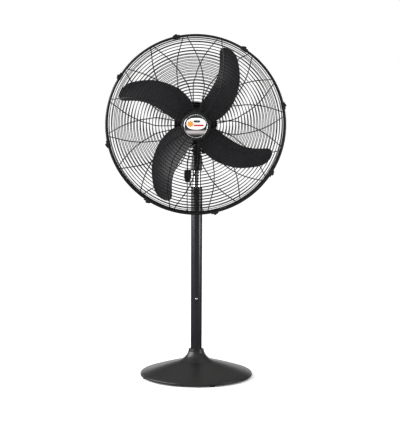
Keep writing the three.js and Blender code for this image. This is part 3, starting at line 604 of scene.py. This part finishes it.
# ---- badge
def badge_print():
    """A printed disc under clear resin: on a dark field a pale label with an eight-petalled ochre
    rosette and two plain bars, over a painted reflection, a light grey band low down; a faint
    bluish grey band runs near the top. The resin gives it one sharp, glassy highlight."""
    made, tree, principled, where = material("resin-coated badge", Roughness=0.25, IOR=1.5,
                                             Coat_Weight=1.0, Coat_Roughness=0.04)

    def inside(x, z, wide, tall, power):
        """1 within a superellipse: |x / wide| ^ power + |z / tall| ^ power < 1."""
        parts = []
        for value, centre, half in ((across, x, wide), (up, z, tall)):
            share = node(tree, "MapRange",
                         [("Value", value), ("To Min", -1.0), ("To Max", 1.0)], clamp=False,
                         From_Min=(centre - half) * MM, From_Max=(centre + half) * MM)
            size = node(tree, "Math", [(0, share.outputs[0])], operation="ABSOLUTE")
            parts.append(node(tree, "Math", [(0, size.outputs[0]), (1, power)],
                              operation="POWER"))
        total = node(tree, "Math", [(0, parts[0].outputs[0]), (1, parts[1].outputs[0])],
                     operation="ADD")
        return node(tree, "Math", [(0, total.outputs[0]), (1, 1.0)],
                    operation="LESS_THAN").outputs[0]

    centred = node(tree, "Mapping", [("Vector", where)],
                   Location=(-HUB[0] * MM, 0, -HUB[2] * MM), Scale=(1, 0, 1))
    axes = node(tree, "SeparateXYZ", [("Vector", centred.outputs["Vector"])]).outputs
    across, up = axes["X"], axes["Z"]
    # painted reflection: the colour runs from the bottom of the badge to the top, with a light grey
    # band low down under the label
    level = node(tree, "MapRange", [("Value", up)], From_Min=-41 * MM, From_Max=41 * MM)
    colour = node(
        tree, "ValToRGB", [("Fac", level.outputs["Result"])],
        [(0.0, "#141314"), (0.1, "#2a2727"), (0.17, "#8d8486"), (0.25, "#b3abac"),
         (0.32, "#4a4546"), (0.4, "#1b191b"), (0.78, "#101113"), (0.9, "#2c3234"),
         (1.0, "#101214")],
    ).outputs["Color"]
    from_rosette = node(tree, "VectorMath",
                        [(0, centred.outputs["Vector"]), (1, (-21 * MM, 0, 9 * MM))],
                        operation="SUBTRACT").outputs["Vector"]
    petal = node(tree, "SeparateXYZ", [("Vector", from_rosette)]).outputs
    reach = node(tree, "VectorMath", [(0, from_rosette)], operation="LENGTH")
    turn = node(tree, "Math", [(0, petal["Z"]), (1, petal["X"])], operation="ARCTAN2")
    eighth = node(tree, "Math", [(0, turn.outputs[0]), (1, 8.0)], operation="MULTIPLY")
    wave = node(tree, "Math", [(0, eighth.outputs[0])], operation="COSINE")
    edge = node(tree, "Math",
                [(0, wave.outputs[0]), (1, 1.8 * MM), (2, 12 * MM)], operation="MULTIPLY_ADD")
    rosette = node(tree, "Math", [(0, reach.outputs["Value"]), (1, edge.outputs[0])],
                   operation="LESS_THAN").outputs[0]
    for mask, tint in (
        (inside(1, 10, 37, 22, 2.4), "#f4f2f0"),
        (rosette, "#c8873a"),
        (inside(11, 3.5, 20, 3.8, 6), "#a82c30"),
        (inside(4, 19, 13, 4.6, 4), "#2c3a36"),
    ):
        mixed = node(tree, "Mix", [("Factor", mask)], data_type="RGBA")
        tree.links.new(colour, mixed.inputs["A"])
        mixed.inputs["B"].default_value = linear(tint)
        colour = mixed.outputs["Result"]
    tree.links.new(colour, principled.inputs["Base Color"])
    return made


def make_badge():
    """A shallow resin dome in a chrome bezel with a ring of beads, on a round black plate."""
    back, front = high("badge")[1], low("badge")[1]
    bezel = turned(
        [(40, back), (46.4, back, 0.5), (46.4, back - 2.2, 1.2), (44.6, back - 3.4, 1.2),
         (42.4, back - 3.2, 0.6), (42, back - 2.2, 0.5), (40, back - 2.2)],
        "y", AXLE, 144,
    )
    piece("badge_bezel", bezel, CHROME, "head", ["badge"])
    share = np.linspace(1, 0, 14)
    dome = [(41.8 * s, front + 0.15 + (back - 3.0 - front) * s**2) for s in share]
    disc = turned([(0, back - 0.4), (41.8, back - 0.4), *dome], "y", AXLE, 120)
    piece("badge_plate", disc, badge_print(), "head")
    beads = 52
    bead_turn = np.arange(beads) * TAU / beads
    centres = on_cage(44.2, bead_turn, back - 3.5)
    polar = np.linspace(0, math.pi, 7)[:, None]
    around = np.arange(10) * TAU / 10
    ball = np.stack([np.sin(polar) * np.cos(around), np.cos(polar) + 0 * around,
                     np.sin(polar) * np.sin(around)], axis=-1).reshape(-1, 3)
    points = (centres[:, None] + 1.6 * ball[None]).reshape(-1, 3) * MM
    faces = [f for k in range(beads) for f in grid_faces(7, 10, start=k * 70)]
    piece("badge_beads", (points, faces), CHROME, "head")
    plate = high("front_plate")[1]
    disc = turned(
        [(0, plate), (52.5, plate, 0.6), (54, plate - 0.4, 0.6), (52, plate - 2, 1),
         (0, plate - 2)],
        "y", AXLE, 128,
    )
    piece("front_plate_skin", disc, MOTOR_PAINT, "head", ["front_plate"])


make_badge()


# ---- base and pole
BASE_R = (high("base_shell")[0] - low("base_shell")[0]) / 2
BASE_FOOT = low("base_shell")[2]
SHOULDER_R, SHOULDER_Z = 56.0, 65.3
DOME_R, DOME_FOOT_Z = BASE_R - 5.5, 17.0
DOME_SLOPE = 0.223


def dome_z(r):
    """Height of the base's dome: it falls from the shoulder along a straight slope, and below that
    slope by the 1.707th power of the way to the lip."""
    run = DOME_R - SHOULDER_R
    t = (r - SHOULDER_R) / run
    below = SHOULDER_Z - DOME_FOOT_Z - DOME_SLOPE * run
    return SHOULDER_Z - DOME_SLOPE * run * t - below * t**1.707


def make_base():
    """A spun steel dome that turns over a crease into an upright lip, and a moulded trumpet that
    hides the pole's socket and flows into the dome."""
    radii = np.linspace(SHOULDER_R, DOME_R, 40)
    top = [(r, dome_z(r)) for r in radii]
    outline = [
        (TUBE_R + 1, SHOULDER_Z + 2), (50, SHOULDER_Z + 2, 2), *top, (BASE_R - 1.2, 14.2, 1.6),
        (BASE_R, 12, 1), (BASE_R, BASE_FOOT, 0.6), (BASE_R - 2, BASE_FOOT, 0.6),
        (BASE_R - 2, 11.4), (BASE_R - 3, 12.6), *[(r, z - 2) for r, z in top[::-3]],
        (50, SHOULDER_Z, 1), (TUBE_R + 1, SHOULDER_Z),
    ]
    piece("base_dome", turned(outline, around=192), BASE_PAINT, "stand", ["base_shell"])
    skirt = curve_through(
        [(67, 63.1), (62.5, 65.2), (58, 67.7), (53.5, 70.9), (49.8, 74), (45, 78.6), (41.4, 82.7),
         (38.8, 86.5), (36.5, 90.3), (34.5, 94.2), (32.7, 98), (31.4, 101.8), (30.9, 105.7),
         (30.4, 109.5)],
        44,
    )
    brim = high("pole_collar")[2] + 1
    outline = [
        *skirt, (30.0, brim, 1), (TUBE_R + 0.3, brim), (TUBE_R + 0.3, brim - 2.8), (27, brim - 2.8),
        (28.6, 101), (31.8, 93.5), (36, 85.8), (42.4, 78), (48, 73), (56, 67.4),
        (62, dome_z(62) + 0.5), (66.5, dome_z(66.5) + 0.2),
    ]
    piece("collar_skin", turned(outline, around=128), BASE_PAINT, "stand", ["pole_collar"])
    under, over = low("base_plate")[2], high("base_plate")[2]
    edge = BASE_R - 2.6
    outline = rounded([(7, under), (edge, under, 0.5), (edge, over, 0.5), (7, over)])
    piece("base_plate_skin", turned(outline, around=160), ZINC, "stand", ["base_plate"])
    for index in range(1, 5):
        name = f"foot_{index}"
        top = high(name)[2]
        foot = turned([(0, 0), (11, 0, 0.8), (12, 1.2, 0.8), (12, top, 0.6), (0, top)],
                      centre=middle(name) * [1, 1, 0], around=48)
        piece(name + "_skin", foot, RUBBER, "stand", [name])


make_base()


def make_pole():
    """The outer tube with the lock's boss, the chrome inner tube, the bush between them, the
    locating screw in its oval grommet, and the cord's gland."""
    bore = TUBE_R - 2.8
    tube = turned([(bore, POLE_FOOT), (TUBE_R, POLE_FOOT), (TUBE_R, POLE_TOP, 0.8),
                   (bore, POLE_TOP)], around=128)
    boss = turned([(4.5, bore + 1), (9, bore + 1), (9, 32, 1), (4.5, 32, 1)], "y",
                  (0, 0, LOCK_Z), 48)
    piece("outer_tube_skin", joined(tube, boss), POLE_PAINT, "stand", ["outer_tube"])
    foot, top = low("inner_tube")[2], high("inner_tube")[2]
    tube = turned([(MAST_R - 1.2, foot), (MAST_R, foot, 0.4), (MAST_R, top, 0.4),
                   (MAST_R - 1.2, top)], around=128)
    piece("inner_tube_skin", tube, CHROME, "mast", ["inner_tube"])
    outline = [
        (16.5, POLE_TOP - 40), (bore - 0.3, POLE_TOP - 40, 0.5), (bore - 0.3, POLE_TOP + 0.3),
        (TUBE_R - 0.3, POLE_TOP + 0.3, 0.4), (TUBE_R - 1, POLE_TOP + 2, 0.7),
        (16.5, POLE_TOP + 2, 0.4),
    ]
    piece("bush_skin", turned(outline), ABS, "stand", ["tube_bush"])

    centre = middle("tube_grommet") * [1, 0, 1]
    outline = [(3, -19), (9, -19, 0.5), (9, -23.9, 1.4), (5.4, -25.2, 1.2), (3, -24.6)]
    points, faces = turned(outline, "y", centre, 64, oval=1.5)
    curve = np.sqrt((TUBE_R + 0.15) ** 2 - np.clip(points[:, 0] / MM, -12, 12) ** 2)
    points[:, 1] = np.minimum(points[:, 1], -curve * MM)
    piece("grommet_skin", (points, faces), RUBBER, "stand", ["tube_grommet"])

    def recess(radius, height, angle):
        """A cross sunk into the screw's head: deep where either of two lines is near."""
        near = np.minimum(np.abs(radius * np.cos(angle)), np.abs(radius * np.sin(angle)))
        return -1.0 * ((near < 0.6) & (radius < 2.6) & (height < -25.7))

    head = [(0, -27.6), (0.8, -27.5), (1.6, -27.3), (2.4, -26.9), (3.2, -26.4), (4.3, -25.3, 0.4),
            (4.3, -24.9), (2.4, -24.9), (2.4, -17.4), (0, -17.4)]
    screw = turned(head, "y", centre, 48, relief=recess)
    piece("screw_skin", screw, CHROME, "stand", ["tube_screw"])

    centre = middle("cable_gland") * [1, 0, 1]
    hexagon = arc(8.6, 0, 300, steps=6)
    nut = prism(hexagon, TUBE_R + 0.6, 27, 0.6, "y", centre)
    neck = turned([(3.4, 26), (6.6, 26), (6.4, 31, 1.5), (5, 33, 1), (3.4, 33)], "y", centre, 48)
    piece("gland_skin", joined(nut, neck), ABS, "stand", ["cable_gland"])


make_pole()


def knob(reach, axis, centre, head, lobes, depth, stem):
    """A hand knob: a lobed head with soft edges between two heights, on a round neck and a stem."""
    start, stop = head
    body = turned(
        [(0, start), (reach - 5, start, 2), (reach - 1, start + 1, 2), (reach, start + 4, 2),
         (reach, stop - 3, 2), (reach - 2.5, stop, 2), (reach - 6, stop, 1),
         (reach - 7, stop - 1, 1), (0, stop - 1)],
        axis, centre, 120, lobes=lobes, lobe_mm=depth,
    )
    return joined(body, turned(stem, axis, centre, 48))


def make_knobs():
    """The height lock behind the pole, the tilt lock beside the fork, the oscillation pull."""
    stem = [(0, MAST_R + 0.5), (4, MAST_R + 0.5, 0.5), (4, 32.6), (9, 32.6, 1), (8.4, 39), (0, 39)]
    part = knob(19, "y", (0, 0, LOCK_Z), (38, 51), 5, 4, stem)
    piece("height_knob_skin", part, ABS, "height_lock", ["height_knob"])
    stem = [(0, -20), (4, -20), (4, 16.3), (7, 16.3, 0.6), (6.6, 21), (0, 21)]
    nut = prism(arc(7, 0, 300, steps=6), -21, -16.3, 0.5, "x", (0, 0, TILT_Z))
    part = joined(knob(14, "x", (0, 0, TILT_Z), (20, 33), 4, 3, stem), nut)
    piece("tilt_knob_skin", part, ABS, "tilt_lock", ["tilt_knob"])
    lo, hi = low("oscillation_knob"), high("oscillation_knob")
    x, y, _ = middle("oscillation_knob")
    part = turned(
        [(0, lo[2]), (3, lo[2], 0.6), (3, hi[2] - 18), (8.4, hi[2] - 18, 1), (9, hi[2] - 14, 1),
         (9, hi[2] - 3, 1.5), (7.4, hi[2], 1.6), (0, hi[2] - 0.6)],
        centre=(x, y, 0), around=144, lobes=18, lobe_mm=0.7,
    )
    piece("oscillation_knob_skin", part, ABS, "oscillation_control", ["oscillation_knob"])


make_knobs()


# ---- neck, switch and tilt joint
NECK_FOOT, NECK_TOP = low("neck_socket")[2], TILT_Z - 18


def make_neck():
    """A socket on the inner tube, closed at the top, with a fork of two round-headed cheeks."""
    shell = turned(
        [(MAST_R + 0.3, NECK_FOOT, 0.4), (POLE_R + 1, NECK_FOOT, 1), (POLE_R + 1, NECK_FOOT + 5, 1),
         (POLE_R, NECK_FOOT + 6.4, 0.6), (POLE_R, NECK_TOP, 3), (0, NECK_TOP), (0, NECK_TOP - 9),
         (MAST_R + 0.3, NECK_TOP - 9)],
    )
    side = [(-13, NECK_TOP - 4), (13, NECK_TOP - 4), *arc(13, 0, 180, 0, TILT_Z, 28)]
    cheeks = [prism(side, *span, 1.2, "x") for span in ((9.3, 16), (-16, -9.3))]
    saddle = [(-11, NECK_TOP - 4), (11, NECK_TOP - 4), (11, TILT_Z - 9),
              *arc(13, 316, 224, 0, TILT_Z, 16), (-11, TILT_Z - 9)]
    middle_block = prism(saddle, -9.6, 9.6, 0.3, "x")
    piece("neck_skin", joined(shell, *cheeks, middle_block), POLE_PAINT, "mast",
          ["neck_socket"])


BOX_TALL = 48  # the switch box, without its tab


def make_switch():
    """The pull switch: a moulded box that narrows to the cord's nozzle, on a tab beside the neck,
    with a short lead that loops up into the neck."""
    x, y, _ = middle("pull_cord")
    foot = low("switch_box")[2]
    top = foot + BOX_TALL
    outline = rounded(
        [(-45, foot, 3), (-29, foot, 3), (-22.5, foot + 16, 4), (-22.5, top, 2), (-48, top, 2),
         (-50, top - 4, 2), (-50, foot + 16, 4)],
    )
    body = prism(outline, -13, 13, 2, "y")
    tab = block((-24.8, -8, top - 6), (-POLE_R - 1.2, 8, top + 28), 0.8, 1.2, "x")
    nozzle = turned([(2.1, foot - 1.5), (4.4, foot - 1.5, 0.8), (4.8, foot + 2), (2.1, foot + 2)],
                    centre=(x, y, 0), around=40)
    seam = block((-50.4, -0.6, foot + 15), (-22.1, 0.6, top - 1.5), 0.2, 0.2)
    piece("switch_skin", joined(body, tab, nozzle, seam), ABS, "mast", ["switch_box"])
    mouth = NECK_TOP - 5
    path = curve_through(
        [(x, y, top + 0.3), (x, y, mouth - 41), (x, y, mouth - 26), (x + 2, y, mouth - 13),
         (x + 8, y, mouth - 4), (-25, y, mouth), (-18.5, y, mouth)], 50,
    )
    part = swept(path[None], (0, 1, 0), 2.0, False, 12)
    piece("switch_lead_skin", part, CORD_PVC, "mast", ["switch_lead"])
    foot, top = low("pull_bead")[2], high("pull_bead")[2]
    outline = [(0, foot), (4.2, foot, 1), (5.2, foot + 3, 2), (4.6, foot + 9, 2), (2.4, top, 1),
               (0, top)]
    piece("pull_bead_skin", turned(outline, centre=(x, y, 0), around=48), ABS, "pull",
          ["pull_bead"])


LINK_X = -18.0  # the link's middle line and the flange's pin
CRANK_X, CRANK_Y = -9.0, 80.0
CRANK_PIN_X = -21.7


def make_tilt_joint():
    """The block between the fork's cheeks with its round flange, and the pin the head turns on."""
    side = [*arc(12.7, 180, 360, 0, TILT_Z, 28), (11, TILT_Z + 8), (11, FLANGE_Z + 1),
            (-11, FLANGE_Z + 1), (-11, TILT_Z + 8)]
    body = prism(side, -9, 9, 0.8, "x")
    flange = turned([(0, FLANGE_Z), (25, FLANGE_Z, 1.5), (25, FLANGE_Z + 6, 1.5),
                     (0, FLANGE_Z + 6)])
    pin = turned([(0, LINK_Z - 3), (2.5, LINK_Z - 3), (2.5, LINK_Z + 5, 0.6), (0, LINK_Z + 5)],
                 centre=(LINK_X, 0, 0), around=32)
    piece("tilt_block_skin", joined(body, flange, pin), MOTOR_PAINT, "yoke", ["tilt_block"])
    top = high("spindle")[2]
    outline = [(0, FLANGE_Z + 6.1), (7, FLANGE_Z + 6.1), (7, LINK_Z + 4), (9.5, LINK_Z + 4, 0.6),
               (9.5, LINK_Z + 7.6, 0.6), (7, LINK_Z + 7.6), (7, top, 1), (0, top)]
    piece("spindle_skin", turned(outline, around=48), BLACKENED, "yoke", ["spindle"])


def make_link():
    """A flat bar with an eye at each end, and the crank that it ties to the flange's pin."""
    x, far = LINK_X, CRANK_Y
    eye = turned([(3, LINK_Z), (6.3, LINK_Z, 0.5), (6.3, LINK_Z + 3, 0.5), (3, LINK_Z + 3)],
                 centre=(x, 0, 0), around=48)
    big = turned([(7.2, LINK_Z), (10, LINK_Z, 0.5), (10, LINK_Z + 3, 0.5), (7.2, LINK_Z + 3)],
                 centre=(x, far, 0), around=56)
    bar = block((x - 4.5, 5, LINK_Z + 0.2), (x + 4.5, far - 8.5, LINK_Z + 2.8), 0.5, 1)
    piece("link_skin", joined(eye, bar, big), BLACKENED, "link", ["link_rod"])
    centre = (CRANK_X, far, 0)
    outline = [
        (0, LINK_Z + 5), (17, LINK_Z + 5, 0.6), (17, LINK_Z + 9.5, 0.6), (6, LINK_Z + 9.5),
        (6, LINK_Z + 29), (14, LINK_Z + 29, 0.6), (14, LINK_Z + 36, 0.6), (6, LINK_Z + 36),
        (6, LINK_Z + 41, 1), (0, LINK_Z + 41),
    ]
    disc = turned(outline, centre=centre, around=64)
    pin = turned([(0, LINK_Z - 2), (2.5, LINK_Z - 2, 0.6), (2.5, LINK_Z + 5.5), (0, LINK_Z + 5.5)],
                 centre=(CRANK_PIN_X, far, 0), around=32)
    piece("crank_skin", joined(disc, pin), BLACKENED, "crank", ["crank"])


make_neck()
make_switch()
make_tilt_joint()
make_link()

# ---- motor and gearbox
MOTOR_R = (high("motor_shell")[0] - low("motor_shell")[0]) / 2
SHELL_END = high("motor_shell")[1]


def end_cover(outer, side):
    """An end cover's outline: a cup with soft shoulders and a seat for its bearing. outer is the
    y of its flat face, and side is -1 at the front and 1 at the back."""
    def y(inwards):
        return outer - side * inwards

    joint = side * (SHELL_END + 0.3)
    face = [(r, outer) for r in np.linspace(7, 57, 60)]
    return [
        *face, (61, y(0.2), 2), (66, y(3.4), 3), (68, y(9), 3), (68, joint, 0.6), (65.5, joint),
        (65.5, y(9.5), 2), (58, y(2.5), 1), (18, y(2.5)), (18, y(13)), (13.3, y(13)),
        (13.3, y(2.5)), (7, y(2.5)),
    ]


def make_motor():
    """A rolled shell with a bead at each end, between two pressed covers. The rear cover is vented
    by a ring of pressed slots round its bearing."""
    outline = [
        (MOTOR_R - 2, -SHELL_END), (MOTOR_R, -SHELL_END, 0.8), (MOTOR_R, -33),
        (MOTOR_R - 1.2, -31.5, 1), (MOTOR_R - 1.2, -29.5, 1), (MOTOR_R, -28), (MOTOR_R, 28),
        (MOTOR_R - 1.2, 29.5, 1), (MOTOR_R - 1.2, 31.5, 1), (MOTOR_R, 33),
        (MOTOR_R, SHELL_END, 0.8), (MOTOR_R - 2, SHELL_END),
    ]
    piece("motor_shell_skin", turned(outline, "y", AXLE, 144), MOTOR_PAINT, "head", ["motor_shell"])
    front, rear = low("motor_front_cover")[1], high("motor_rear_cover")[1]

    def slots(radius, height, angle):
        """Eighteen radial slots with soft ends: deep where a point is near a slot's middle line."""
        step = TAU / 18
        aside = np.abs((angle + step / 2) % step - step / 2) * radius
        along = np.maximum(np.abs(radius - 41) - 12, 0)
        near = np.hypot(aside, along)
        sunk = np.clip((2.6 - near) / 0.9, 0, 1)
        return 1.8 * sunk * sunk * (3 - 2 * sunk) * (np.abs(height - rear) < 0.1)

    cover = turned(end_cover(rear, 1), "y", AXLE, 360, relief=slots)
    piece("motor_rear_skin", cover, MOTOR_PAINT, "head", ["motor_rear_cover"])
    cover = turned(end_cover(front, -1), "y", AXLE, 144)
    piece("motor_front_skin", cover, MOTOR_PAINT, "head", ["motor_front_cover"])


def make_swivel():
    """The casting under the motor: round at the spindle, it widens with height into a soft-cornered
    saddle, whose top follows the motor's round."""
    rows, cols = 24, 96
    foot, wide = low("swivel_housing")[2], high("swivel_housing")[2]
    t = np.linspace(0, 1, rows)[:, None]
    blend = np.clip((t - 0.45) / 0.3, 0, 1)
    blend = blend * blend * (3 - 2 * blend)
    turn = (np.arange(cols) + 0.5)[None, :] * TAU / cols
    power = 2 + 4 * blend
    half_a, half_b = 14 + 9 * blend, 14 + 12 * blend
    a = np.sign(np.cos(turn)) * np.abs(np.cos(turn)) ** (2 / power) * half_a - 7 * blend
    b = np.sign(np.sin(turn)) * np.abs(np.sin(turn)) ** (2 / power) * half_b
    saddle = HUB[2] - np.sqrt((MOTOR_R + 0.2) ** 2 - (a - HUB[0]) ** 2)
    height = np.minimum(foot + (wide - foot) * t, saddle)
    points = np.stack([a, b, height], axis=-1).reshape(-1, 3) * MM
    piece("swivel_skin", (points, capped_faces(rows, cols)), MOTOR_PAINT, "head",
          ["swivel_housing"])


def make_gearbox():
    """A moulded box behind the motor, with a lid held by four screws."""
    lo, hi = low("gearbox"), high("gearbox")
    corners = [(lo[0], lo[2], 12), (hi[0], lo[2], 12), (hi[0], hi[2], 12), (lo[0], hi[2], 12)]
    outline = rounded(corners, steps=8)
    body = prism(outline, lo[1], hi[1] - 9, 0.8, "y")
    lid = prism(outline, hi[1] - 8.7, hi[1], 3, "y", steps=6)
    piece("gearbox_skin", joined(body, lid), ABS, "head", ["gearbox"])
    heads = []
    for x in (lo[0] + 10, hi[0] - 10):
        for z in (lo[2] + 10, hi[2] - 10):
            y = hi[1]
            heads.append(turned([(0, y - 1), (3.4, y - 1), (3.4, y + 0.6, 0.6), (2, y + 1.7, 1),
                                 (0.6, y + 1.8), (0, y + 1)], "y", (x, 0, z), 32))
    piece("gearbox_screws", joined(*heads), ZINC, "head")


make_motor()
make_swivel()
make_gearbox()

# What is left of the CAD lies inside other pieces or under the base: it keeps its shape.
for node_name, finish in (
    ("worm", ZINC), ("worm_wheel", BRASS), ("stator", IRON), ("rotor_core", IRON),
    ("front_bearing", ZINC), ("rear_bearing", ZINC), ("tube_stop", ABS), ("tube_plug", ZINC),
    ("base_weight", IRON), ("pole_bolt", ZINC),
):
    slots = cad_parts[node_name].data.materials
    slots.clear()
    slots.append(finish)


# ---- studio
def softbox(name, place, size, radiance, aim):
    """A rectangular light of a given brightness, whatever its size."""
    data = bpy.data.lights.new(name, "AREA")
    data.shape = "RECTANGLE"
    data.size, data.size_y = size
    data.energy = radiance * math.pi * size[0] * size[1]
    lamp = put(name, data)
    direction = mathutils.Vector(aim) - mathutils.Vector(place)
    lamp.location = place
    lamp.rotation_mode = "QUATERNION"
    lamp.rotation_quaternion = direction.to_track_quat("-Z", "Y")


SURROUND = 1.06  # strength of the white surround
ROOM_FRONT, ROOM_BEHIND = 0.3, 0.02  # what reflections see in front of the fan and behind it
ROOM_OVERHEAD, LOW_BAND = 0.5, 4.0  # added overhead, and low down behind the fan


def make_studio():
    """A pale floor under an even white surround. Reflections see a dim room instead: grey in front
    of the fan, dark behind it, lighter overhead, with a bright band low down behind. A large
    softbox stands on the left, a small strip and a large faint panel on the right, and a faint one
    hangs in front above."""
    bpy.context.scene.view_settings.view_transform = "Standard"
    floor = bpy.data.meshes.new("floor")
    floor.from_pydata([(-40, -40, 0), (40, -40, 0), (40, 40, 0), (-40, 40, 0)], [], [(0, 1, 2, 3)])
    made, _, principled, _ = material("pale floor", Roughness=1.0)
    principled.inputs["Base Color"].default_value = linear("#fdfdfd")
    floor.materials.append(made)
    ground = put("floor", floor)
    ground.visible_glossy = False

    world = bpy.data.worlds.new("studio")
    bpy.context.scene.world = world
    world.use_nodes = True
    tree = world.node_tree
    surround = tree.nodes["Background"]
    surround.inputs["Color"].default_value = linear("#ffffff")
    surround.inputs["Strength"].default_value = SURROUND
    where = node(tree, "TexCoord").outputs["Generated"]
    axes = node(tree, "SeparateXYZ", [("Vector", where)]).outputs
    depth = node(tree, "MapRange", [("Value", axes["Y"]), ("To Min", ROOM_FRONT),
                                              ("To Max", ROOM_BEHIND)], From_Min=-0.6, From_Max=0.3)
    above = node(tree, "MapRange", [("Value", axes["Z"]), ("To Max", ROOM_OVERHEAD)],
                 From_Min=0.3, From_Max=0.9)
    level = node(tree, "Math", [(0, depth.outputs[0]), (1, above.outputs[0])],
                 operation="ADD")
    band = node(tree, "ValToRGB", [("Fac", axes["Z"])],
                [(0.02, 0.0), (0.08, 1.0), (0.16, 0.25), (0.3, 0.0)])
    behind = node(tree, "MapRange", [("Value", axes["Y"]), ("To Max", LOW_BAND)],
                  From_Min=0.3, From_Max=1.0)
    back = node(tree, "Math", [(0, behind.outputs[0]), (1, band.outputs["Color"])],
                operation="MULTIPLY")
    level = node(tree, "Math", [(0, level.outputs[0]), (1, back.outputs[0])],
                 operation="ADD")
    room = node(tree, "Background", [("Strength", level.outputs[0])])
    ray = node(tree, "LightPath").outputs["Is Glossy Ray"]
    mixed = node(tree, "MixShader",
                 [(0, ray), (1, surround.outputs[0]), (2, room.outputs[0])])
    tree.links.new(mixed.outputs[0], tree.nodes["World Output"].inputs["Surface"])

    softbox("left softbox", (-3.4, -0.6, 1.85), (4.6, 2.5), 6.2, (0, 0, 1.5))
    softbox("right strip", (2.9, -1.15, 0.68), (0.9, 0.8), 9.0, (0, 0, 0.6))
    softbox("right panel", (3.6, -0.9, 0.9), (4.4, 1.6), 0.8, (0, 0, 0.9))
    softbox("overhead softbox", (-1.1, -2.6, 3.3), (1.2, 0.6), 1.4, (0, 0, 1.1))


make_studio()
